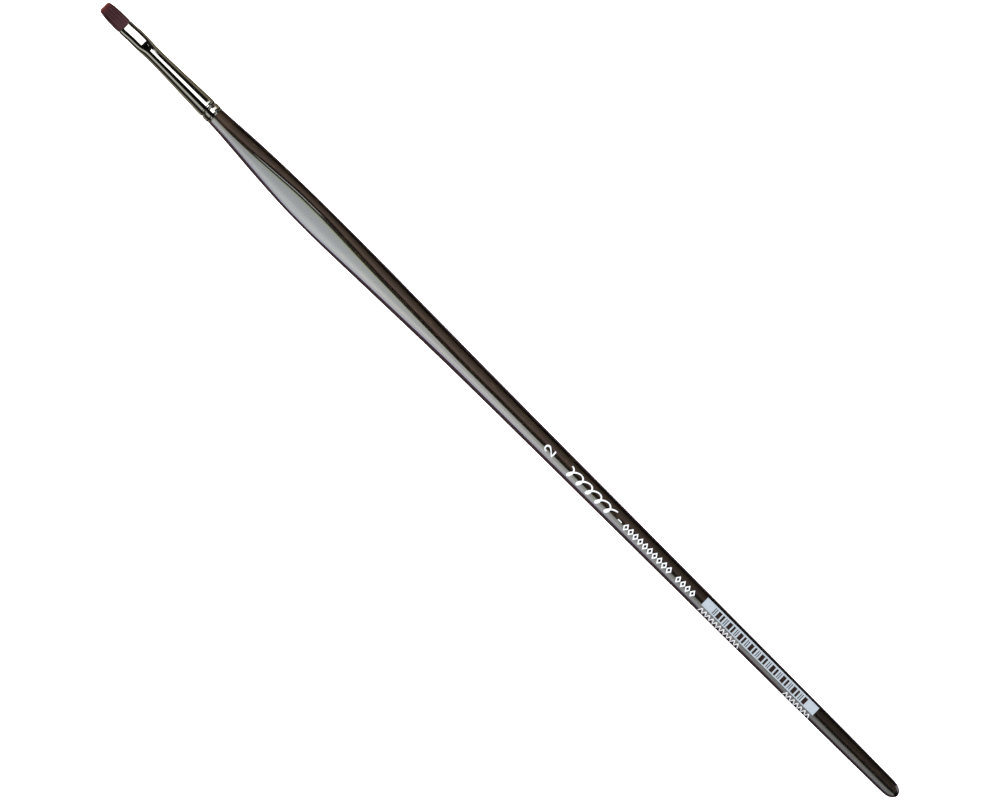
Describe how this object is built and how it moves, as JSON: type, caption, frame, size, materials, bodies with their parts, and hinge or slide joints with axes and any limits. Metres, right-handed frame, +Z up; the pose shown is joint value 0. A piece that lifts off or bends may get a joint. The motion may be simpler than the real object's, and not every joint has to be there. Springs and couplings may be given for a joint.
{
  "type": "paint brush",
  "caption": "Long-handled artists' flat brush: tapered lacquered stick with a softly faceted swell, bright crimped ferrule pressed flat at the mouth, and a short springy tuft.",
  "frame": {"origin": "centre of the bounding box in X and Y, at the height of the table it lies on", "axes": "+X along the brush from the hair to the tail end, +Z up with the brush lying on a table, its printed side turned up and towards -Y"},
  "size_m": [0.28, 0.0082, 0.008],
  "materials": {
    "lacquered_dark_wood": "dark stained wood under a clear gloss lacquer",
    "bright_nickel": "polished nickel plating on brass",
    "red_brown_filament": "fine synthetic filaments, red-brown, silky",
    "cured_epoxy": "amber cured resin",
    "waxed_thread": "waxed thread",
    "cured_glue": "cured glue film",
    "pale_foil": "pale stamped foil",
    "silver_blue_foil": "pale silver-blue stamped foil"
  },
  "bodies": {
    "brush": {"handle": "lacquered_dark_wood", "ferrule": "bright_nickel", "tuft_root": "red_brown_filament", "root_resin": "cured_epoxy", "binding_thread": "waxed_thread", "tenon_glue": "cured_glue", "size_numeral": "pale_foil", "maker_mark": "pale_foil", "series_mark": "pale_foil", "code_panel": "silver_blue_foil"},
    "tip": {"tuft_tip": "red_brown_filament"}
  },
  "joints": [
    {"name": "tuft_flex", "type": "hinge", "parent": "brush", "child": "tip", "pos_m": [-0.13499, 0, 0.00408], "axis": [0.0037, 0.848, 0.5299], "range_deg": [-35, 35], "stiffness_Nm_per_rad": 0.002}
  ]
}
